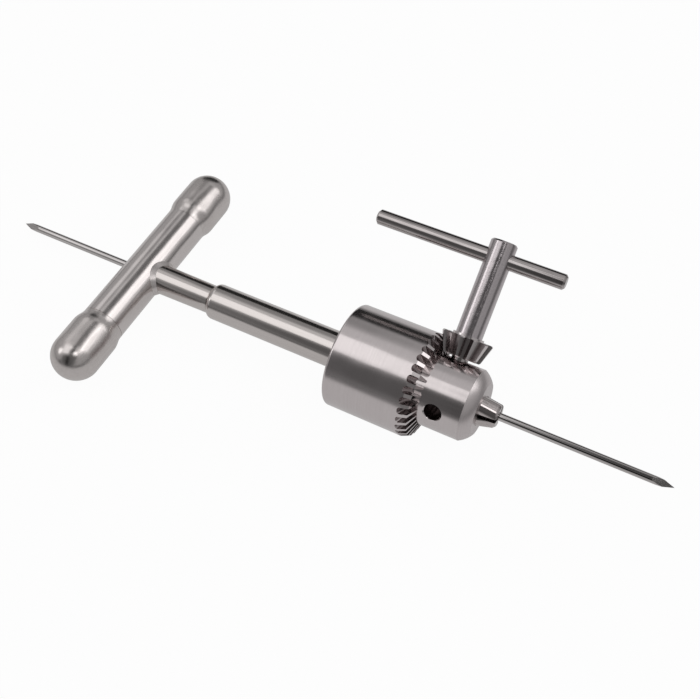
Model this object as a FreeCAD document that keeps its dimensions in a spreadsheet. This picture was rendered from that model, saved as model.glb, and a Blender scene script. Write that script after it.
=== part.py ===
"""Orthopedic hand drill: a T-handle, a keyed three-jaw chuck, its key and a bone wire.

Frame: +X runs along the drill axis to the front, the handle bar lies along Y and +Z is up.
The origin is on the drill axis in the plane of the jaw tips. Sizes are in millimetres and degrees.
The chuck and the key are drawn with local +Y as the key's direction, then turned about X.
"""

import FreeCAD, Part

import os
import re

import Sketcher
from FreeCAD import Placement, Rotation, Vector

SIZES = {
    # bone wire, pointed at both ends
    "wire_radius": 1.2,
    "wire_front_reach": 51.45,
    "wire_rear_reach": 174.0,
    "trocar_length": 6.4,
    # jaws: round bars in inclined bores, ground to a wedge where they grip
    "jaw_slope": 14.4,
    "jaw_radius": 3.1,
    "jaw_tip_radius": 3.65,
    "jaw_length": 31.5,
    "jaw_travel": 7.2,
    "jaw_closed_radius": 0.6,
    "jaw_face_gap": 0.1,
    "jaw_grip_gap": 0.03,
    "jaw_tip_chamfer": 0.5,
    "jaw_bore_clearance": 0.08,
    "jaw_end_room": 0.6,
    # chuck body
    "jaw_reach": 5.4,
    "nose_face_radius": 8.1,
    "nose_cone_length": 3.2,
    "nose_round_radius": 8.0,
    "nose_radius": 11.05,
    "chuck_bore_radius": 3.1,
    "body_inset": 0.8,
    "socket_depth": 9.0,
    "key_setback": 16.8,
    "key_hole_radius": 2.65,
    "key_hole_chamfer": 0.35,
    "key_hole_depth": 5.0,
    # sleeve with its ring gear
    "sleeve_rear": 49.8,
    "sleeve_radius": 16.25,
    "sleeve_edge": 0.9,
    "sleeve_wall": 2.25,
    "running_gap": 0.1,
    "gear_back": 24.7,
    "gear_front": 22.5,
    "gear_tip_radius": 15.3,
    "gear_inner_front": 21.1,
    "gear_web_back": 27.4,
    "ring_teeth": 30,
    "ring_gash_outer": 2.25,
    "ring_gash_inner": 1.9,
    "ring_root_outer": 25.6,
    "ring_root_inner": 24.0,
    # split nut, pressed into the sleeve
    "nut_length": 6.0,
    "nut_side_gap": 0.1,
    "nut_groove_depth": 0.6,
    "nut_jaw_gap": 0.3,
    "nut_split": 1.0,
    "press_gap": 0.02,
    # spindle, barrel, stem and the guide tube inside them
    "spindle_radius": 4.8,
    "spindle_tail": 12.0,
    "spindle_bore_radius": 1.6,
    "socket_end_room": 0.5,
    "barrel_radius": 5.8,
    "barrel_rear": 97.9,
    "barrel_shoulder": 1.9,
    "seam_groove": 0.12,
    "stem_front_radius": 4.6,
    "stem_rear_radius": 4.85,
    "stem_bore_radius": 2.9,
    "spigot_radius": 3.9,
    "spigot_length": 9.0,
    "guide_radius": 2.2,
    "guide_bore_radius": 1.45,
    "guide_socket_depth": 4.0,
    "guide_mouth": 0.4,
    "weld_leg": 1.1,
    # handle bar and its end caps
    "handle_setback": 124.1,
    "bar_radius": 6.9,
    "bar_wall": 1.6,
    "handle_half_length": 45.0,
    "cap_radius": 7.8,
    "cap_length": 21.7,
    "cap_shoulder": 5.0,
    "cap_spigot_length": 7.0,
    # chuck key
    "key_elevation": 36.5,
    "shaft_radius": 4.05,
    "shaft_top": 47.6,
    "shaft_edge": 0.5,
    "pinion_bore_radius": 3.5,
    "pilot_radius": 2.57,
    "pilot_point": 0.6,
    "pilot_side_gap": 0.06,
    "pilot_end_gap": 0.4,
    "pilot_seat_depth": 4.0,
    "pinion_teeth": 12,
    "pinion_bottom": 11.75,
    "pinion_top": 18.0,
    "tip_radius_bottom": 6.15,
    "tip_radius_top": 7.88,
    "root_radius_bottom": 4.2,
    "root_radius_top": 5.85,
    "tooth_tip_bottom": 0.7,
    "tooth_tip_top": 1.3,
    "tooth_base_bottom": 1.4,
    "tooth_base_top": 2.0,
    "tooth_edge": 0.35,
    "hub_radius": 4.8,
    "hub_height": 0.6,
    # tommy bar
    "tommy_radius": 2.33,
    "tommy_clearance": 0.06,
    "tommy_height": 42.4,
    "tommy_rear": 39.0,
    "tommy_front": 20.7,
    "tommy_edge": 0.6,
}

doc = FreeCAD.newDocument("hand_drill")
sizes = doc.addObject("Spreadsheet::Sheet", "sizes")
for row, (alias, value) in enumerate(SIZES.items(), start=1):
    sizes.set(f"A{row}", alias)
    sizes.set(f"B{row}", str(value))
    sizes.setAlias(f"B{row}", alias)
doc.recompute()


def bound(formula):
    """Turn a formula of size names into an expression that reads the sheet."""
    return re.sub(r"[a-z]+(_[a-z]+)+", lambda name: "sizes." + name.group(0), formula)


def number(formula):
    return float(sizes.evalExpression(bound(formula)))


def along(place, place_a, value_a, place_b, value_b):
    """Formula of a value that runs straight from value_a at place_a to value_b at place_b."""
    slope = f"(({value_b}) - ({value_a})) / (({place_b}) - ({place_a}))"
    return f"({value_a}) + ({slope}) * (({place}) - ({place_a}))"


# How far cutting outlines run past the stock that they cut, and the ring of three jaws or holes
PAST = "2"
JAWS = 3
JAW_STEP = 360 / JAWS

# Places and sizes that follow from the sheet
NOSE_FACE = "-jaw_reach"
NOSE_EDGE = "-(jaw_reach + nose_cone_length)"
GEAR_WEB = "-gear_web_back"
NUT_FRONT = "-(gear_web_back + nut_side_gap)"
NUT_BACK = "-(gear_web_back + nut_side_gap + nut_length)"
GROOVE_BACK = "-(gear_web_back + nut_side_gap * 2 + nut_length)"
BODY_BACK = "-(sleeve_rear - body_inset)"
SOCKET_END = "-(sleeve_rear - body_inset - socket_depth)"
SPINDLE_FRONT = "-(sleeve_rear - body_inset - socket_depth + socket_end_room)"
SPINDLE_BACK = "-(sleeve_rear - body_inset + spindle_tail)"
GUIDE_SEAT = "-(sleeve_rear - body_inset + spindle_tail - guide_socket_depth)"
BARREL_BACK = "-barrel_rear"
SPIGOT_END = "-(barrel_rear - spigot_length)"
SLEEVE_BORE = "sleeve_radius - sleeve_wall"
GEAR_BORE = "nose_radius + running_gap"
BAR_END = "handle_half_length - cap_length"
BAR_BORE = "bar_radius - bar_wall"
HOLE_FLOOR = "nose_radius - key_hole_depth"
HUB_TOP = "pinion_top + hub_height"
JAW_AXIS = "(jaw_tip_radius - jaw_radius / cos(jaw_slope))"


def origin_item(body, role):
    return next(item for item in body.Origin.OriginFeatures if item.Role == role)


def new_body(label):
    body = doc.addObject("PartDesign::Body", label)
    body.Label = label
    return body


def bind(item, paths):
    for path, formula in paths.items():
        item.setExpression(path, bound(formula))


def placed(body, turn_axis=Vector(1, 0, 0), angle=None, x="0", y="0", z="0"):
    """Put a body at its place, turned about one axis."""
    body.Placement = Placement(Vector(), Rotation(turn_axis, 0 if angle is None else number(angle)))
    bind(body, {"Placement.Base.x": x, "Placement.Base.y": y, "Placement.Base.z": z})
    if angle is not None:
        bind(body, {"Placement.Rotation.Angle": angle})
    return body


def sketch(body, name, corners, role="XY_Plane", offset_z=None, turn=None):
    """Sketch a closed outline whose corners are pairs of formulas, each bound to the sheet.

    A corner with a radius as its third item starts an arc to the next corner, and its fourth item
    says on which side of the straight line the arc stands: 1 for left and -1 for right.
    offset_z moves the sketch along its plane's normal, and turn is an axis and the angle about it.
    """
    made = body.newObject("Sketcher::SketchObject", name)
    made.AttachmentSupport = (origin_item(body, role), [""])
    made.MapMode = "FlatFace"
    if turn:
        made.AttachmentOffset = Placement(Vector(), Rotation(turn[0], number(turn[1])))
        bind(made, {"AttachmentOffset.Rotation.Angle": turn[1]})
    if offset_z:
        bind(made, {"AttachmentOffset.Base.z": offset_z})
    add_outline(made, corners)
    return made


def add_outline(made, corners):
    first = made.GeometryCount
    count = len(corners)
    spots = [Vector(number(corner[0]), number(corner[1]), 0) for corner in corners]
    ends = []
    for index, corner in enumerate(corners):
        start = spots[index]
        end = spots[(index + 1) % count]
        if len(corner) == 2:
            made.addGeometry(Part.LineSegment(start, end))
        else:
            chord = end - start
            side = Vector(-chord.y, chord.x, 0).normalize() * corner[3]
            radius = number(corner[2])
            rise = radius - max(radius**2 - chord.Length**2 / 4, 0) ** 0.5
            run = [start, start + chord * 0.5 + side * rise, end]
            made.addGeometry(Part.Arc(*(reversed(run) if corner[3] > 0 else run)))
        # A sketch counts the two ends of an arc anticlockwise
        ends.append((2, 1) if len(corner) > 2 and corner[3] > 0 else (1, 2))
    for index, corner in enumerate(corners):
        here = first + index
        after = first + (index + 1) % count
        join = Sketcher.Constraint("Coincident", here, ends[index][1], after, ends[(index + 1) % count][0])
        made.addConstraint(join)
        for letter, kind, item in (("x", "DistanceX", 0), ("y", "DistanceY", 1)):
            value = spots[index][item]
            where = made.addConstraint(Sketcher.Constraint(kind, -1, 1, here, ends[index][0], value))
            made.renameConstraint(where, f"{letter}{here}")
            bind(made, {f"Constraints.{letter}{here}": corner[item]})
        if len(corner) > 2:
            where = made.addConstraint(Sketcher.Constraint("Radius", here, number(corner[2])))
            made.renameConstraint(where, f"radius{here}")
            bind(made, {f"Constraints.radius{here}": corner[2]})


def spun(body, kind, made, axis="H_Axis", angle="360"):
    """Turn a sketch about one of its own axes, or about its first side when axis is first_side."""
    if axis == "first_side":
        line = made.Geometry[0]
        made.addGeometry(Part.LineSegment(line.StartPoint, line.EndPoint), True)
        last = made.GeometryCount - 1
        made.addConstraint(Sketcher.Constraint("Coincident", last, 1, 0, 1))
        made.addConstraint(Sketcher.Constraint("Coincident", last, 2, 0, 2))
        axis = "Axis0"
    spin = body.newObject("PartDesign::" + kind, made.Name + "_spun")
    spin.Profile = made
    spin.ReferenceAxis = (made, [axis])
    bind(spin, {"Angle": angle})
    return spin


def turned(label, corners, axis="H_Axis", angle="360"):
    """A body turned from one outline, as on a lathe."""
    body = new_body(label)
    spun(body, "Revolution", sketch(body, label + "_profile", corners), axis, angle)
    return body


def pocket(body, made, length):
    cut = body.newObject("PartDesign::Pocket", made.Name + "_cut")
    cut.Profile = made
    cut.Midplane = True
    bind(cut, {"Length": length})
    return cut


def cross_bore(body, name, radius, half_length, turn_axis, angle, x="0", y="0"):
    """Cut a round hole, centred on x and y, whose axis is Z turned about turn_axis."""
    hole = body.newObject("PartDesign::SubtractiveCylinder", name)
    middle = Placement(Vector(0, 0, -number(half_length)), Rotation())
    hole.Placement = Placement(Vector(), Rotation(turn_axis, angle)) * middle
    shift = hole.Placement.Base
    unit = shift * (1 / number(half_length))
    bind(hole, {
        "Radius": radius,
        "Height": f"2 * ({half_length})",
        "Placement.Base.x": f"({x}) + ({round(unit.x, 9)}) * ({half_length})",
        "Placement.Base.y": f"({y}) + ({round(unit.y, 9)}) * ({half_length})",
        "Placement.Base.z": f"({round(unit.z, 9)}) * ({half_length})",
    })
    return hole


def repeated(body, feature, count, role="X_Axis"):
    """Repeat a feature evenly around one of the body's axes."""
    doc.recompute()
    ring = body.newObject("PartDesign::PolarPattern", feature.Name + "_ring")
    ring.Originals = [feature]
    ring.Axis = (origin_item(body, role), [""])
    ring.Angle = 360
    bind(ring, {"Occurrences": count})
    body.Tip = ring
    return ring


def gash(body, name, section_a, height_a, section_b, height_b, turn=None):
    """Cut a tooth space that runs straight from one section to the other along local Y."""
    cut = body.newObject("PartDesign::SubtractiveLoft", name)
    near = sketch(body, name + "_a", section_a, "XZ_Plane", f"-({height_a})", turn)
    far = sketch(body, name + "_b", section_b, "XZ_Plane", f"-({height_b})", turn)
    cut.Profile = near
    cut.Sections = [far]
    cut.Ruled = True
    return cut


def make_bone_wire():
    """A round wire with a three-sided point ground on each end."""
    spare = "1"
    front = f"wire_front_reach + {spare}"
    rear = f"-(wire_rear_reach + {spare})"
    body = turned("bone_wire", [(rear, "0"), (front, "0"), (front, "wire_radius"), (rear, "wire_radius")])
    below = f"-wire_radius / trocar_length * {PAST}"
    above = "wire_radius * 3"
    points = sketch(body, "trocar_points", [
        (f"wire_front_reach + {PAST}", below),
        (f"wire_front_reach + {PAST}", above),
        ("wire_front_reach - 2 * trocar_length", above),
        ("wire_front_reach - 2 * trocar_length", "2 * wire_radius"),
    ])
    add_outline(points, [
        (f"-(wire_rear_reach + {PAST})", below),
        (f"-(wire_rear_reach + {PAST})", above),
        ("-(wire_rear_reach - 2 * trocar_length)", above),
        ("-(wire_rear_reach - 2 * trocar_length)", "2 * wire_radius"),
    ])
    repeated(body, pocket(body, points, "wire_radius * 6"), str(JAWS))
    return placed(body)


def jaw_side(distance, offset):
    """The point at a distance behind the tip plane along a jaw's axis, offset outwards from it."""
    x = f"-({distance}) * cos(jaw_slope) + ({offset}) * sin(jaw_slope)"
    y = f"{JAW_AXIS} + ({distance}) * sin(jaw_slope) + ({offset}) * cos(jaw_slope)"
    return x, y


def jaw_outline(radius, end):
    return [
        jaw_side(f"-{PAST}", "0"),
        jaw_side(end, "0"),
        jaw_side(end, radius),
        jaw_side(f"-{PAST}", radius),
    ]


def make_chuck_jaw(index):
    """An inclined round jaw with a wedge of two ground faces and a narrow grip on the wire."""
    label = f"chuck_jaw_{index + 1}"
    body = turned(label, jaw_outline("jaw_radius", "jaw_length"), "first_side")
    apex = "wire_radius - jaw_closed_radius + jaw_face_gap / sin(60)"
    grip = "wire_radius + jaw_grip_gap"
    reach = "jaw_tip_radius + jaw_length"
    sides = sketch(body, label + "_sides", [
        (grip, f"-(({grip}) - ({apex})) * tan(60)"),
        (reach, f"-(({reach}) - ({apex})) * tan(60)"),
        ("-jaw_radius * 2", f"-(({reach}) - ({apex})) * tan(60)"),
        ("-jaw_radius * 2", f"(({reach}) - ({apex})) * tan(60)"),
        (reach, f"(({reach}) - ({apex})) * tan(60)"),
        (grip, f"(({grip}) - ({apex})) * tan(60)"),
    ], "YZ_Plane")
    pocket(body, sides, "jaw_length * 3")
    tip = sketch(body, label + "_tip", [
        ("0", "0"),
        (f"{PAST} * 2", "0"),
        (f"{PAST} * 2", f"jaw_tip_radius + {PAST}"),
        (f"-(jaw_tip_chamfer + {PAST})", f"jaw_tip_radius + {PAST}"),
        ("0", "jaw_tip_radius - jaw_tip_chamfer"),
    ])
    spun(body, "Groove", tip)
    return placed(body, angle=f"key_elevation + {JAW_STEP / 2 + index * JAW_STEP}")


def make_chuck_body():
    """The steel body: nose, key holes, inclined jaw bores, nut groove, rear flange and socket."""
    flange = "sleeve_radius - sleeve_wall - running_gap"
    groove = "nose_radius - nut_groove_depth"
    body = turned("chuck_body", [
        (BODY_BACK, "spindle_radius"),
        (SOCKET_END, "spindle_radius"),
        (SOCKET_END, "chuck_bore_radius"),
        (NOSE_FACE, "chuck_bore_radius"),
        (NOSE_FACE, "nose_face_radius", "nose_round_radius", -1),
        (NOSE_EDGE, "nose_radius"),
        (GEAR_WEB, "nose_radius"),
        (GEAR_WEB, groove),
        (GROOVE_BACK, groove),
        (GROOVE_BACK, flange),
        (BODY_BACK, flange),
    ])
    jaw_bore = sketch(
        body,
        "jaw_bore",
        jaw_outline("jaw_radius + jaw_bore_clearance", "jaw_length + jaw_travel + jaw_end_room"),
        turn=(Vector(1, 0, 0), str(JAW_STEP / 2)),
    )
    repeated(body, spun(body, "Groove", jaw_bore, "first_side"), str(JAWS))
    key_hole = sketch(body, "key_hole", [
        ("-key_setback", HOLE_FLOOR),
        ("-key_setback", f"nose_radius + {PAST}"),
        (f"-key_setback + key_hole_radius + key_hole_chamfer + {PAST}", f"nose_radius + {PAST}"),
        ("-key_setback + key_hole_radius", "nose_radius - key_hole_chamfer"),
        ("-key_setback + key_hole_radius", HOLE_FLOOR),
    ])
    repeated(body, spun(body, "Groove", key_hole, "first_side"), str(JAWS))
    return placed(body, angle="key_elevation")


def make_chuck_sleeve():
    """The sleeve, with a ring gear cut in its front edge by straight round-bottomed gashes."""
    body = turned("chuck_sleeve", [
        ("-sleeve_rear", SLEEVE_BORE),
        (GEAR_WEB, SLEEVE_BORE),
        (GEAR_WEB, GEAR_BORE),
        ("-gear_inner_front", GEAR_BORE),
        ("-gear_front", "gear_tip_radius"),
        ("-gear_back", "sleeve_radius"),
        ("-(sleeve_rear - sleeve_edge)", "sleeve_radius", "sleeve_edge", -1),
        ("-sleeve_rear", "sleeve_radius - sleeve_edge"),
    ])

    def section(height):
        root = along(height, "sleeve_radius", "-ring_root_outer", GEAR_BORE, "-ring_root_inner")
        width = "(" + along(height, "sleeve_radius", "ring_gash_outer", GEAR_BORE, "ring_gash_inner") + ")"
        shoulder = f"({root}) + {width} * (0.6 - sqrt(0.11))"
        return [
            (shoulder, f"{width} / 2", f"{width} * 0.6", -1),
            (shoulder, f"-{width} / 2"),
            ("-gear_inner_front + nose_radius / 2", f"-{width} / 2"),
            ("-gear_inner_front + nose_radius / 2", f"{width} / 2"),
        ]

    outer = f"sleeve_radius + {PAST}"
    inner = f"nose_radius - {PAST}"
    cut = gash(body, "ring_gash", section(outer), outer, section(inner), inner)
    repeated(body, cut, "ring_teeth")
    return placed(body, angle="key_elevation")


def make_nut_half(index):
    """Half of the split ring nut. Its conical bore follows the slope of the jaws."""
    jaw_cone = "jaw_tip_radius + nut_jaw_gap / cos(jaw_slope)"
    outer = f"{SLEEVE_BORE} - press_gap"
    body = turned(f"nut_half_{index + 1}", [
        (NUT_BACK, f"{jaw_cone} - ({NUT_BACK}) * tan(jaw_slope)"),
        (NUT_FRONT, f"{jaw_cone} - ({NUT_FRONT}) * tan(jaw_slope)"),
        (NUT_FRONT, outer),
        (NUT_BACK, outer),
    ], angle="180 - nut_split")
    return placed(body, angle=f"key_elevation + {180 * index}")


def make_chuck_spindle():
    """The hollow stud that joins the barrel to the chuck body."""
    return placed(turned("chuck_spindle", [
        (SPINDLE_BACK, "guide_radius + press_gap"),
        (GUIDE_SEAT, "guide_radius + press_gap"),
        (GUIDE_SEAT, "spindle_bore_radius"),
        (SPINDLE_FRONT, "spindle_bore_radius"),
        (SPINDLE_FRONT, "spindle_radius - press_gap"),
        (SPINDLE_BACK, "spindle_radius - press_gap"),
    ]))


def make_barrel_tube():
    """The barrel, rounded down at its rear end to the smaller stem."""
    run = "(barrel_shoulder - seam_groove)"
    drop = "(barrel_radius - stem_front_radius)"
    return placed(turned("barrel_tube", [
        (BARREL_BACK, "spigot_radius"),
        (SPIGOT_END, "spigot_radius"),
        (SPIGOT_END, "stem_bore_radius"),
        (SPINDLE_BACK, "stem_bore_radius"),
        (SPINDLE_BACK, "spindle_radius"),
        (BODY_BACK, "spindle_radius"),
        (BODY_BACK, "barrel_radius"),
        (f"{BARREL_BACK} + barrel_shoulder", "barrel_radius", f"({run} ^ 2 + {drop} ^ 2) / {drop} / 2", -1),
        (f"{BARREL_BACK} + seam_groove", "stem_front_radius"),
        (BARREL_BACK, "stem_front_radius - seam_groove"),
    ]))


def make_stem_tube():
    """The tapered stem, coped at its rear end to sit on the round handle bar."""
    body = turned("stem_tube", [
        ("-handle_setback", "stem_bore_radius"),
        (f"{SPIGOT_END} - press_gap", "stem_bore_radius"),
        (f"{SPIGOT_END} - press_gap", "spigot_radius - press_gap"),
        (BARREL_BACK, "spigot_radius - press_gap"),
        (BARREL_BACK, "stem_front_radius - seam_groove"),
        (f"{BARREL_BACK} - seam_groove", "stem_front_radius"),
        ("-handle_setback", "stem_rear_radius"),
    ])
    cross_bore(body, "stem_cope", "bar_radius", "stem_rear_radius * 2", Vector(1, 0, 0), 90, "-handle_setback")
    return placed(body)


def make_guide_tube():
    """The liner that carries the wire from the back of the handle to the spindle."""
    rear = "-(handle_setback + bar_radius)"
    return placed(turned("guide_tube", [
        (rear, "guide_bore_radius + guide_mouth"),
        (f"{rear} + guide_mouth", "guide_bore_radius"),
        (f"{GUIDE_SEAT} - press_gap", "guide_bore_radius"),
        (f"{GUIDE_SEAT} - press_gap", "guide_radius"),
        (rear, "guide_radius"),
    ]))


def make_handle_bar():
    body = turned("handle_bar", [
        (BAR_BORE, f"-({BAR_END})"),
        ("bar_radius", f"-({BAR_END})"),
        ("bar_radius", BAR_END),
        (BAR_BORE, BAR_END),
    ], "V_Axis")
    cross_bore(body, "guide_hole", "guide_radius + press_gap", "bar_radius * 2", Vector(0, 1, 0), 90)
    return placed(body, x="-handle_setback")


def make_end_cap(label, half_turns):
    """A rounded bulb that widens from the bar's radius and plugs into the bar's bore."""
    shoulder = f"{BAR_END} + seam_groove"
    rise = "(cap_radius - bar_radius)"
    bend = f"(cap_shoulder ^ 2 + {rise} ^ 2) / {rise} / 4"
    body = turned(label, [
        ("0", f"{BAR_END} - cap_spigot_length"),
        (f"{BAR_BORE} - press_gap", f"{BAR_END} - cap_spigot_length"),
        (f"{BAR_BORE} - press_gap", BAR_END),
        ("bar_radius - seam_groove", BAR_END),
        ("bar_radius", shoulder, bend, 1),
        (f"bar_radius + {rise} / 2", f"{shoulder} + cap_shoulder / 2", bend, -1),
        ("cap_radius", f"{shoulder} + cap_shoulder"),
        ("cap_radius", "handle_half_length - cap_radius", "cap_radius", -1),
        ("0", "handle_half_length"),
    ], "V_Axis")
    return placed(body, Vector(0, 0, 1), str(180 * half_turns), "-handle_setback")


def make_handle_weld():
    """The sloping weld that runs around the stem where it meets the handle bar."""

    def bar_and_stem(name, spare):
        bar = doc.addObject("Part::Cylinder", name + "_bar")
        bar.Placement.Rotation = Rotation(Vector(1, 0, 0), 90)
        bind(bar, {
            "Radius": f"bar_radius + {spare}",
            "Height": f"2 * ({BAR_END})",
            "Placement.Base.x": "-handle_setback",
            "Placement.Base.y": BAR_END,
        })
        stem = doc.addObject("Part::Cone", name + "_stem")
        stem.Placement.Rotation = Rotation(Vector(0, 1, 0), 90)
        bind(stem, {
            "Radius1": f"stem_rear_radius + {spare}",
            "Radius2": f"stem_front_radius + {spare}",
            "Height": f"handle_setback - barrel_rear + {spare}",
            "Placement.Base.x": "-handle_setback",
        })
        joined = doc.addObject("Part::Fuse", name + "_joined")
        joined.Base = bar
        joined.Tool = stem
        return joined

    joined = bar_and_stem("weld", "0")
    doc.recompute()
    seam = []
    for index, edge in enumerate(joined.Shape.Edges, start=1):
        if edge.Curve.TypeId == "Part::GeomBSplineCurve":
            seam.append((index, number("weld_leg"), number("weld_leg")))
    sloped = doc.addObject("Part::Chamfer", "weld_sloped")
    sloped.Base = joined
    sloped.Edges = seam
    weld = doc.addObject("Part::Cut", "handle_weld")
    weld.Label = "handle_weld"
    weld.Base = sloped
    weld.Tool = bar_and_stem("weld_room", "press_gap")
    return weld


def key_placed(body):
    """Key pieces are drawn along local Y from the drill axis outwards."""
    return placed(body, angle="key_elevation", x="-key_setback")


def make_key_shaft():
    pilot_bore = "pilot_radius + pilot_side_gap"
    body = turned("key_shaft", [
        (pilot_bore, "pinion_bottom"),
        ("pinion_bore_radius - press_gap", "pinion_bottom"),
        ("pinion_bore_radius - press_gap", HUB_TOP),
        ("shaft_radius", HUB_TOP),
        ("shaft_radius", "shaft_top - shaft_edge"),
        ("shaft_radius - shaft_edge", "shaft_top"),
        ("0", "shaft_top"),
        ("0", f"{HUB_TOP} + pilot_seat_depth"),
        (pilot_bore, f"{HUB_TOP} + pilot_seat_depth"),
    ], "V_Axis")
    cross_bore(body, "tommy_hole", "tommy_radius + tommy_clearance", "shaft_radius * 2", Vector(0, 1, 0), 90,
               y="tommy_height")
    return key_placed(body)


def make_key_pinion():
    """The bevel pinion, pressed on the shaft, with one tooth pointing straight at the ring gear."""
    body = turned("key_pinion", [
        ("pinion_bore_radius", "pinion_bottom"),
        ("tip_radius_bottom - tooth_edge", "pinion_bottom"),
        ("tip_radius_bottom", "pinion_bottom + tooth_edge"),
        ("tip_radius_top", "pinion_top - tooth_edge"),
        ("tip_radius_top - tooth_edge", "pinion_top"),
        ("hub_radius", "pinion_top"),
        ("hub_radius", HUB_TOP),
        ("pinion_bore_radius", HUB_TOP),
    ], "V_Axis")

    def section(height):
        half_step = "(180 / pinion_teeth)"
        ends = ("pinion_bottom", "pinion_top")

        def between(name):
            return "(" + along(height, ends[0], name + "_bottom", ends[1], name + "_top") + ")"

        def flank(radius, tooth):
            out = f"{radius} * cos({half_step}) + {tooth} / 2 * sin({half_step})"
            across = f"{radius} * sin({half_step}) - {tooth} / 2 * cos({half_step})"
            return out, across

        root = between("root_radius")
        tip = between("tip_radius")
        base_width = between("tooth_base")
        tip_width = between("tooth_tip")
        beyond = f"({tip} * 1.2)"
        beyond_width = "(" + along(beyond, root, base_width, tip, tip_width) + ")"
        low, low_across = flank(root, base_width)
        high, high_across = flank(beyond, beyond_width)
        return [
            (low, low_across),
            (low, f"-({low_across})"),
            (high, f"-({high_across})"),
            (high, high_across),
        ]

    bottom = "pinion_bottom - 1"
    top = "pinion_top + 1"
    turn = (Vector(0, 0, 1), "180 + 180 / pinion_teeth")
    cut = gash(body, "pinion_gash", section(bottom), bottom, section(top), top, turn)
    repeated(body, cut, "pinion_teeth", "Y_Axis")
    return key_placed(body)


def make_key_pilot_pin():
    """The pin that seats in the chuck body's key hole and centres the key."""
    low = f"{HOLE_FLOOR} + pilot_end_gap"
    return key_placed(turned("key_pilot_pin", [
        ("0", low),
        ("pilot_radius - pilot_point", low),
        ("pilot_radius", f"{low} + pilot_point"),
        ("pilot_radius", f"{HUB_TOP} + pilot_seat_depth - pilot_side_gap"),
        ("0", f"{HUB_TOP} + pilot_seat_depth - pilot_side_gap"),
    ], "V_Axis"))


def make_tommy_bar():
    body = turned("tommy_bar", [
        ("-tommy_rear", "0"),
        ("tommy_front", "0"),
        ("tommy_front", "tommy_radius - tommy_edge"),
        ("tommy_front - tommy_edge", "tommy_radius"),
        ("-(tommy_rear - tommy_edge)", "tommy_radius"),
        ("-tommy_rear", "tommy_radius - tommy_edge"),
    ])
    return placed(body, x="-key_setback", y="tommy_height * cos(key_elevation)",
                  z="tommy_height * sin(key_elevation)")


parts = [
    make_handle_bar(),
    make_end_cap("end_cap_far", 0),
    make_end_cap("end_cap_near", 1),
    make_stem_tube(),
    make_handle_weld(),
    make_guide_tube(),
    make_barrel_tube(),
    make_chuck_spindle(),
    make_chuck_body(),
    make_chuck_sleeve(),
    make_nut_half(0),
    make_nut_half(1),
    make_bone_wire(),
    make_key_shaft(),
    make_key_pinion(),
    make_key_pilot_pin(),
    make_tommy_bar(),
]
parts += [make_chuck_jaw(index) for index in range(JAWS)]
doc.recompute()

for item in doc.Objects:
    if "Invalid" in item.State or "Error" in item.State:
        raise RuntimeError(f"{item.Label} did not compute: {item.State}")
for part in parts:
    if part.Shape.isNull() or not part.Shape.isValid():
        raise RuntimeError(f"{part.Label} has no valid shape")

os.makedirs("parts", exist_ok=True)
for part in parts:
    part.Shape.exportStep(f"parts/{part.Label}.step")
    print(part.Label, "solids", len(part.Shape.Solids), "volume", round(part.Shape.Volume, 2))
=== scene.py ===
"""Looks of the orthopedic hand drill: steel finishes, studio light and the photograph's view."""

import math

import bpy
from mathutils import Matrix, Vector

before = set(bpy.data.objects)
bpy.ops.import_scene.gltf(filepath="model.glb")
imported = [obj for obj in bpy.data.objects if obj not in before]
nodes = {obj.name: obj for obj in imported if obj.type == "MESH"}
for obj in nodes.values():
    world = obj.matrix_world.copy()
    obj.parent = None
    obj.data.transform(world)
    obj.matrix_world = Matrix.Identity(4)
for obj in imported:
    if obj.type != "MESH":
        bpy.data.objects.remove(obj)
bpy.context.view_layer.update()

MM = 0.001


def linear(code):
    """An sRGB hex colour as linear red, green, blue and alpha."""
    parts = [int(code[i:i + 2], 16) / 255 for i in (1, 3, 5)]
    return [c / 12.92 if c <= 0.04045 else ((c + 0.055) / 1.055) ** 2.4 for c in parts] + [1.0]


def add(tree, kind, inputs=None, **settings):
    """Add a node with its settings, and set or link its inputs by name or number."""
    node = tree.nodes.new("ShaderNode" + kind)
    for name, value in settings.items():
        setattr(node, name, value)
    for key, value in (inputs or {}).items():
        if isinstance(value, bpy.types.NodeSocket):
            tree.links.new(value, node.inputs[key])
        else:
            node.inputs[key].default_value = value
    return node


def calc(tree, operation, first, second):
    """One sum on two sockets or numbers."""
    return add(tree, "Math", {0: first, 1: second}, operation=operation).outputs[0]


def times(tree, *factors):
    """Product of sockets and numbers."""
    result = factors[0]
    for factor in factors[1:]:
        result = calc(tree, "MULTIPLY", result, factor)
    return result


def dot(tree, first, second):
    """Dot product of two directions."""
    node = add(tree, "VectorMath", {0: first, 1: second}, operation="DOT_PRODUCT")
    return node.outputs["Value"]


def blend(tree, share, one, other, kind="FLOAT"):
    """From one number or colour to the other, by a share from 0 to 1."""
    node = add(tree, "Mix", {"Factor": share, "A": one, "B": other}, data_type=kind)
    return node.outputs["Result"]


def noise(tree, spot, scale, detail, roughness=0.5):
    """Noise from 0 to 1."""
    look = {"Vector": spot, "Scale": scale, "Detail": detail, "Roughness": roughness}
    return add(tree, "TexNoise", look).outputs["Fac"]


def ramp(tree, value, start, end, low=0.0, high=1.0):
    """A straight slope from low at start to high at end, held beyond them."""
    slope = {"Value": value, "From Min": start, "From Max": end, "To Min": low, "To Max": high}
    return add(tree, "MapRange", slope).outputs["Result"]


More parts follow.
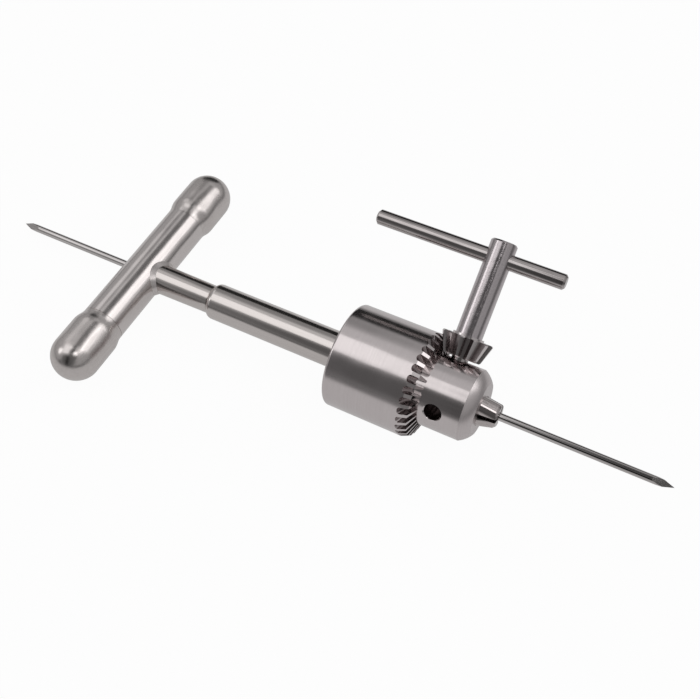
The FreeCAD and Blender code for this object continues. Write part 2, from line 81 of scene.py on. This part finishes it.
# Sizes of the drill in millimetres, as in its source; places along the drill count from the jaw tips
HANDLE_SETBACK = 124.1
KEY_SETBACK = 16.8
KEY_TILT = math.radians(36.5)
TOMMY_HEIGHT = 42.4
NOSE_FACE = -5.4
NOSE_EDGE = -8.6
NOSE_FACE_RADIUS = 8.1
NOSE_RADIUS = 11.05
GEAR_INNER_FRONT = -21.1
GEAR_FRONT = -22.5
GEAR_BACK = -24.7
GEAR_BORE_RADIUS = 11.15
GEAR_TIP_RADIUS = 15.3
SLEEVE_RADIUS = 16.25
SLEEVE_INSIDE = -31
BODY_INSIDE = -48
PINION_BOTTOM = 11.75
PINION_TOP = 18.0
PINION_BOTTOM_RADIUS = 6.15
PINION_TOP_RADIUS = 7.88

# The axes and feet of the pieces
ALONG_DRILL = Vector((1, 0, 0))
ALONG_HANDLE = Vector((0, 1, 0))
KEY_WAY = Vector((0, math.cos(KEY_TILT), math.sin(KEY_TILT)))
DRILL_FOOT = Vector((0, 0, 0))
HANDLE_FOOT = Vector((-HANDLE_SETBACK, 0, 0))
KEY_FOOT = Vector((-KEY_SETBACK, 0, 0))
TOMMY_FOOT = KEY_FOOT + KEY_WAY * TOMMY_HEIGHT

# Roughness down in the hollows, and on a part finished with emery cloth
HOLLOW_GLOSS = 0.2
SATIN_GLOSS = 0.34
# The slow waves of hand work are this much longer than the blotches
WAVE_STRETCH = 1.4


def lathe_places(tree, way, foot):
    """Distance along a piece's axis, distance from it, and the place from its foot, in millimetres."""
    metres = add(tree, "TexCoord").outputs["Object"]
    here = add(tree, "VectorMath", {0: metres, "Scale": 1 / MM}, operation="SCALE")
    place = add(tree, "VectorMath", {0: here.outputs[0], 1: foot}, operation="SUBTRACT").outputs[0]
    along = dot(tree, place, way)
    down = add(tree, "VectorMath", {0: way, "Scale": along}, operation="SCALE")
    out = add(tree, "VectorMath", {0: place, 1: down.outputs[0]}, operation="SUBTRACT")
    away = add(tree, "VectorMath", {0: out.outputs[0]}, operation="LENGTH").outputs["Value"]
    return along, away, place


def turning_lines(pitch):
    """Rings left by a lathe tool at a pitch in mm, on the sides and on the ends."""
    def lines(tree, way, along, away, place):
        sides = times(tree, along, 1 / pitch)
        ends = times(tree, away, 1 / pitch)
        drift = times(tree, noise(tree, place, 0.25, 1.0), 2.0)
        spot = add(tree, "CombineXYZ", {0: sides, 1: ends, 2: drift}).outputs[0]
        return noise(tree, spot, 1.0, 3.0, 0.7)
    return lines


def lengthwise_lines(width, length):
    """Buffing or drawing lines that run along a bar, of a width and length in mm."""
    def lines(tree, way, along, away, place):
        squeeze = Vector(1 / length if abs(w) > 0.9 else 1 / width for w in way)
        spot = add(tree, "VectorMath", {0: place, 1: squeeze}, operation="MULTIPLY").outputs[0]
        return noise(tree, spot, 1.0, 3.0, 0.7)
    return lines


def grains(size):
    """Blasted grain of a size in mm, the same every way."""
    def lines(tree, way, along, away, place):
        return noise(tree, place, 1 / size, 3.0, 0.65)
    return lines


def chuck_hollow_painted_shade(tree, along, away, place):
    """Painted shade in the key holes and the jaw bores: below the body's outer surface, behind its nose.
    """
    skin = ramp(tree, along, NOSE_EDGE, NOSE_FACE, NOSE_RADIUS - 0.2, NOSE_FACE_RADIUS - 0.2)
    under = calc(tree, "SUBTRACT", skin, away)
    behind = ramp(tree, along, NOSE_FACE - 0.05, NOSE_FACE - 0.4)
    return times(tree, ramp(tree, under, 0.35, 0.6), behind,
                 ramp(tree, along, BODY_INSIDE, BODY_INSIDE + 1))


def ring_gash_painted_shade(tree, along, away, place):
    """Painted shade down in the ring gear's tooth spaces: behind the cones that hold the tooth tips."""
    tips = ramp(tree, away, GEAR_BORE_RADIUS, GEAR_TIP_RADIUS, GEAR_INNER_FRONT, GEAR_FRONT)
    edge = ramp(tree, away, GEAR_TIP_RADIUS, SLEEVE_RADIUS, 0.0, GEAR_BACK - GEAR_FRONT)
    under = calc(tree, "SUBTRACT", calc(tree, "ADD", tips, edge), along)
    within = ramp(tree, away, SLEEVE_RADIUS - 0.03, SLEEVE_RADIUS - 0.25)
    return times(tree, ramp(tree, under, 0.05, 0.5), within,
                 ramp(tree, along, SLEEVE_INSIDE, SLEEVE_INSIDE + 1))


def pinion_gash_painted_shade(tree, along, away, place):
    """Painted shade down in the pinion's tooth spaces: inside the cone that holds its tooth tips."""
    tips = ramp(tree, along, PINION_BOTTOM, PINION_TOP, PINION_BOTTOM_RADIUS, PINION_TOP_RADIUS)
    under = calc(tree, "SUBTRACT", tips, away)
    above = ramp(tree, along, PINION_BOTTOM + 0.05, PINION_BOTTOM + 0.25)
    below = ramp(tree, along, PINION_TOP - 0.05, PINION_TOP - 0.3)
    return times(tree, ramp(tree, under, 0.35, 1.5), above, below)


def jaw_flank_painted_shade(tree, along, away, place):
    """Painted shade on the ground wedge faces that look in towards the wire and the next jaw."""
    facing = dot(tree, add(tree, "TexCoord").outputs["Normal"], place)
    inward = calc(tree, "DIVIDE", facing, away)
    return times(tree, ramp(tree, inward, -0.1, -0.35), ramp(tree, along, -0.05, -0.3))


def chuck_nose(tree, along, away, place):
    """The rounded front of the chuck body, finished with emery cloth."""
    return ramp(tree, along, NOSE_EDGE - 0.1, NOSE_EDGE + 0.1)


def steel(name, way, foot, colour, shade, gloss, lines, depth, blotch, sway,
          painted_shade_mask=None, painted_shade_tint=None, satin=None):
    """Steel with fine lines, softly blotched gloss and a slightly wavy skin.

    way and foot are the axis the lines follow and a place on it, colour and shade the lightest and
    darkest tint, gloss the lowest and highest roughness, depth the height of the fine lines in mm,
    blotch the size of the blotches in mm, and sway the height in mm of the slow waves left by hand
    work. hollow is the mask of the parts given painted shade, tinted there towards dark and made
    rougher, and satin that of a part with a duller finish.
    """
    material = bpy.data.materials.new(name)
    material.use_nodes = True
    tree = material.node_tree
    tree.nodes.clear()
    shader = add(tree, "BsdfPrincipled", {"Metallic": 1.0})
    add(tree, "OutputMaterial", {"Surface": shader.outputs["BSDF"]})
    along, away, place = lathe_places(tree, way, foot)
    marks = lines(tree, way, along, away, place)
    rough = ramp(tree, noise(tree, place, 1 / blotch, 4.0, 0.6), 0.3, 0.7, *gloss)
    tint = blend(tree, marks, linear(shade), linear(colour), "RGBA")
    # Painted shade: the mask tints these parts towards a darker colour and sets their roughness to
    # HOLLOW_GLOSS
    if painted_shade_mask:
        painted_shade_share = painted_shade_mask(tree, along, away, place)
        tint = blend(tree, painted_shade_share, tint, linear(painted_shade_tint), "RGBA")
        rough = blend(tree, painted_shade_share, rough, HOLLOW_GLOSS)
    if satin:
        rough = blend(tree, satin(tree, along, away, place), rough, SATIN_GLOSS)
    waves = noise(tree, place, 1 / (blotch * WAVE_STRETCH), 0.0)
    slow = {"Height": waves, "Strength": 1.0, "Distance": sway * MM}
    slow = add(tree, "Bump", slow).outputs["Normal"]
    fine = {"Height": marks, "Strength": 1.0, "Distance": depth * MM, "Normal": slow}
    tree.links.new(add(tree, "Bump", fine).outputs["Normal"], shader.inputs["Normal"])
    tree.links.new(tint, shader.inputs["Base Color"])
    tree.links.new(rough, shader.inputs["Roughness"])
    return material


# Stainless steel 304, buffed by hand: soft-edged reflections that wander a little along the bar
buffed_handle = steel("buffed_304_handle", ALONG_HANDLE, HANDLE_FOOT, "#DDD7D5", "#CBC4C3", (0.15, 0.22),
                      lengthwise_lines(0.4, 12), 0.003, 6, 0.16)
# The same steel on the round end caps, buffed across on a soft wheel: a little duller and wavier
buffed_caps = steel("buffed_304_caps", ALONG_HANDLE, HANDLE_FOOT, "#DDD7D5", "#BEB7B5", (0.2, 0.3),
                    lengthwise_lines(0.4, 8), 0.003, 5, 0.3)
# Stainless steel 304 tube, buffed brighter: clear bands with faint lengthwise streaks
buffed_stem = steel("buffed_304_stem", ALONG_DRILL, DRILL_FOOT, "#D8D2CF", "#C9C2C0", (0.11, 0.17),
                    lengthwise_lines(0.3, 9), 0.002, 8, 0.03)
# Chuck steel 420, fine-turned and polished: sharp dark bands under a faint haze of rings, with painted
# shade in the key holes and jaw bores of the body
turned_body = steel("fine_turned_420_body", ALONG_DRILL, DRILL_FOOT, "#D7D0D0", "#C6BEBE", (0.11, 0.2),
                    turning_lines(0.3), 0.0008, 6, 0.05, chuck_hollow_painted_shade, "#6E6565", chuck_nose)
# The sleeve gets painted shade down in the ring gear's tooth spaces
turned_sleeve = steel("fine_turned_420_sleeve", ALONG_DRILL, DRILL_FOOT, "#D7D0D0", "#C6BEBE", (0.11, 0.2),
                      turning_lines(0.3), 0.0008, 7, 0.08, ring_gash_painted_shade, "#B2AAAA")
# Ground tool steel: clear bands outside, painted shade where the wedge faces look inwards
ground_jaws = steel("ground_tool_steel_jaws", ALONG_DRILL, DRILL_FOOT, "#D2CBCA", "#A8A09F", (0.1, 0.16),
                    turning_lines(0.25), 0.002, 3, 0.02, jaw_flank_painted_shade, "#2A2424")
# Stainless steel 316 wire, drawn: hard thin streaks of light and dark
drawn_wire = steel("drawn_316_wire", ALONG_DRILL, DRILL_FOOT, "#ECE8E7", "#8A8483", (0.04, 0.07),
                   lengthwise_lines(0.35, 25), 0.0015, 5, 0.0)
# Key shaft of blasted steel, worn smooth by use: grainy, with soft-edged bands
blasted_key = steel("bead_blasted_key_shaft", KEY_WAY, KEY_FOOT, "#DCD5D7", "#A59D9F", (0.12, 0.18),
                    grains(0.3), 0.012, 1.5, 0.02)
# Cut gear steel: bright tooth lands over tooth spaces made rougher and darkened with painted shade
cut_gear = steel("cut_steel_pinion", KEY_WAY, KEY_FOOT, "#E2DCDC", "#C8C0C0", (0.14, 0.2),
                 turning_lines(0.25), 0.003, 1.5, 0.01, pinion_gash_painted_shade, "#AAA2A2")
# Bright drawn bar: clear bands with fine lengthwise streaks
bright_bar = steel("bright_drawn_tommy_bar", ALONG_DRILL, TOMMY_FOOT, "#DCD6D5", "#7C7574", (0.08, 0.13),
                   lengthwise_lines(0.3, 9), 0.002, 5, 0.03)
# Plain turned steel inside the chuck and the stem: dull
plain_inner = steel("plain_turned_inner", ALONG_DRILL, DRILL_FOOT, "#B5AEAE", "#8E8888", (0.28, 0.38),
                    turning_lines(0.3), 0.004, 4, 0.02)
# Weld dressed by hand and buffed with the bar, a little duller than it
weld_steel = steel("ground_weld", ALONG_HANDLE, HANDLE_FOOT, "#DCD6D4", "#C6BFBE", (0.28, 0.36),
                   grains(0.5), 0.006, 1.6, 0.05)

FINISHES = {
    buffed_handle: ["handle_bar"],
    buffed_caps: ["end_cap_near", "end_cap_far"],
    buffed_stem: ["stem_tube", "barrel_tube"],
    weld_steel: ["handle_weld"],
    turned_body: ["chuck_body"],
    turned_sleeve: ["chuck_sleeve"],
    ground_jaws: ["chuck_jaw_1", "chuck_jaw_2", "chuck_jaw_3"],
    drawn_wire: ["bone_wire"],
    blasted_key: ["key_shaft"],
    cut_gear: ["key_pinion"],
    bright_bar: ["tommy_bar", "key_pilot_pin"],
    plain_inner: ["guide_tube", "chuck_spindle", "nut_half_1", "nut_half_2"],
}
for finish, names in FINISHES.items():
    for name in names:
        for slot in nodes[name].material_slots:
            slot.link = "OBJECT"
            slot.material = finish


LAMP_DISTANCE = 1.5
LAMP_AIM = Vector((-60, 0, 0)) * MM


def direction(azimuth, elevation):
    """Unit vector towards an azimuth and elevation in degrees, as seen from the drill."""
    a, e = math.radians(azimuth), math.radians(elevation)
    return Vector((math.cos(e) * math.cos(a), math.cos(e) * math.sin(a), math.sin(e)))


def softbox(name, way, half_long, half_wide, level, shape="RECTANGLE"):
    """A soft lamp seen in a direction, with its half-angles along and across the drill in degrees."""
    lamp = bpy.data.lights.new(name, "AREA")
    lamp.shape = shape
    lamp.size = 2 * LAMP_DISTANCE * math.tan(math.radians(half_long))
    lamp.size_y = 2 * LAMP_DISTANCE * math.tan(math.radians(half_wide))
    face = lamp.size * lamp.size_y * (1 if shape == "RECTANGLE" else math.pi / 4)
    lamp.energy = level * math.pi * face
    rig = bpy.data.objects.new(name, lamp)
    bpy.context.scene.collection.objects.link(rig)
    side = (ALONG_DRILL - way * way.x).normalized()
    turn = Matrix((side, way.cross(side), way)).transposed()
    rig.matrix_world = Matrix.Translation(LAMP_AIM + way * LAMP_DISTANCE) @ turn.to_4x4()


softbox("softbox_over", direction(-148.6, 62.4), 17, 18, 0.58)
softbox("softbox_rear", direction(-154, 32), 9, 10, 1.3, "ELLIPSE")
softbox("softbox_right", direction(40, 42), 17, 17, 1.0, "ELLIPSE")
softbox("softbox_right_low", direction(30, 24), 9, 9, 0.35, "ELLIPSE")
softbox("softbox_front", direction(-44, 63), 9, 9, 1.8, "ELLIPSE")
softbox("softbox_top_right", direction(12, 57), 9, 15, 1.0, "ELLIPSE")

# The room around the drill: a pale surround with dark and light cards, and white where the camera
# looks at it
world = bpy.data.worlds.new("studio")
bpy.context.scene.world = world
world.use_nodes = True
room = world.node_tree
room.nodes.clear()
look = add(room, "TexCoord").outputs["Generated"]
height = add(room, "SeparateXYZ", {0: look}).outputs["Z"]
walls = ramp(room, height, 0.0, 0.16, 0.17, 0.42)
ceiling = ramp(room, height, 0.55, 0.85, 0.0, 0.24)
level = calc(room, "ADD", walls, ceiling)
# Cards: azimuth, elevation, half-angle, width of the soft edge, and level. The later lie over the earlier
for azimuth, elevation, half_angle, soft, shade in (
    (130, 42, 14, 14, 0.28),
    (150, 44, 10, 8, 0.85),
    (-72, 75, 13, 8, 0.03),
    (77, 82, 8, 5, 0.05),
    (-55, 46, 12, 8, 0.1),
    (-80, 52, 12, 8, 0.1),
    (111, 12, 21, 5, 0.02),
    (-88, 30, 30, 18, 0.12),
    (-122, 2, 12, 10, 0.15),
    (78, 63, 12, 6, 0.15),
    (-91, 11, 8, 5, 0.02),
    (-91, 25, 8, 5, 0.02),
    (-91, 39, 8, 5, 0.02),
):
    card = add(room, "MapRange", {
        "Value": dot(room, look, direction(azimuth, elevation)),
        "From Min": math.cos(math.radians(half_angle + soft / 2)),
        "From Max": math.cos(math.radians(half_angle - soft / 2)),
    }, interpolation_type="SMOOTHSTEP")
    level = blend(room, card.outputs["Result"], level, shade)
seen = add(room, "LightPath").outputs["Is Camera Ray"]
glow = add(room, "Background", {"Color": (1, 1, 1, 1), "Strength": blend(room, seen, level, 1.0)})
add(room, "OutputWorld", {"Surface": glow.outputs[0]})

# The floor lies under the sleeve's rear edge and the two end caps, so it slopes a little along the drill
FLOOR_SLOPE = math.radians(6.37)
FLOOR_REACH = 4.0
corners = [(x * FLOOR_REACH, y * FLOOR_REACH, 0) for x, y in ((-1, -1), (1, -1), (1, 1), (-1, 1))]
floor_mesh = bpy.data.meshes.new("floor")
floor_mesh.from_pydata(corners, [], [(0, 1, 2, 3)])
floor = bpy.data.objects.new("floor", floor_mesh)
bpy.context.scene.collection.objects.link(floor)
floor.location = Vector((-48.9, 0, -16.3)) * MM
floor.rotation_euler = (0, FLOOR_SLOPE, 0)

# White paper: the camera and the mirroring steel see it mostly by its own light, all else by the lamps
PAPER_SEEN = 0.96
PAPER_MIRRORED = 0.8
paper = bpy.data.materials.new("white_paper_floor")
paper.use_nodes = True
sheet = paper.node_tree
sheet.nodes.clear()
path = add(sheet, "LightPath")
seen = path.outputs["Is Camera Ray"]
matte = add(sheet, "BsdfDiffuse", {"Color": linear("#F8F8F8")})
# A painted pool of light on the paper, as the steel mirrors it: brightest under the drill
far = add(sheet, "VectorMath", {0: add(sheet, "TexCoord").outputs["Object"]}, operation="LENGTH")
pool = ramp(sheet, far.outputs["Value"], 0.12, 0.34, 0.6, 0.15)
lit = add(sheet, "Emission", {"Color": (1, 1, 1, 1), "Strength": blend(sheet, seen, pool, 1.0)})
mirrored = calc(sheet, "MAXIMUM", path.outputs["Is Glossy Ray"], path.outputs["Is Transmission Ray"])
share = calc(sheet, "MAXIMUM", times(sheet, mirrored, PAPER_MIRRORED), times(sheet, seen, PAPER_SEEN))
mixed = add(sheet, "MixShader", {0: share, 1: matte.outputs[0], 2: lit.outputs[0]})
add(sheet, "OutputMaterial", {"Surface": mixed.outputs[0]})
floor_mesh.materials.append(paper)

# The camera, solved from the photograph's outlines
CAMERA_PLACE = Vector((43.450, -152.019, 245.716)) * MM
CAMERA_RIGHT = Vector((0.88227, 0.46899, -0.04067))
CAMERA_UP = Vector((-0.35771, 0.72407, 0.58972))
CAMERA_BACK = Vector((0.30602, -0.50574, 0.80658))
FOCAL_PIXELS = 1001.876
PHOTO_WIDTH = 700
lens = bpy.data.cameras.new("camera")
lens.sensor_width = 36
lens.lens = FOCAL_PIXELS / PHOTO_WIDTH * lens.sensor_width
lens.clip_start = 0.01
camera = bpy.data.objects.new("camera", lens)
bpy.context.scene.collection.objects.link(camera)
turn = Matrix((CAMERA_RIGHT, CAMERA_UP, CAMERA_BACK)).transposed()
camera.matrix_world = Matrix.Translation(CAMERA_PLACE) @ turn.to_4x4()
bpy.context.scene.camera = camera
bpy.context.scene.view_settings.view_transform = "Standard"
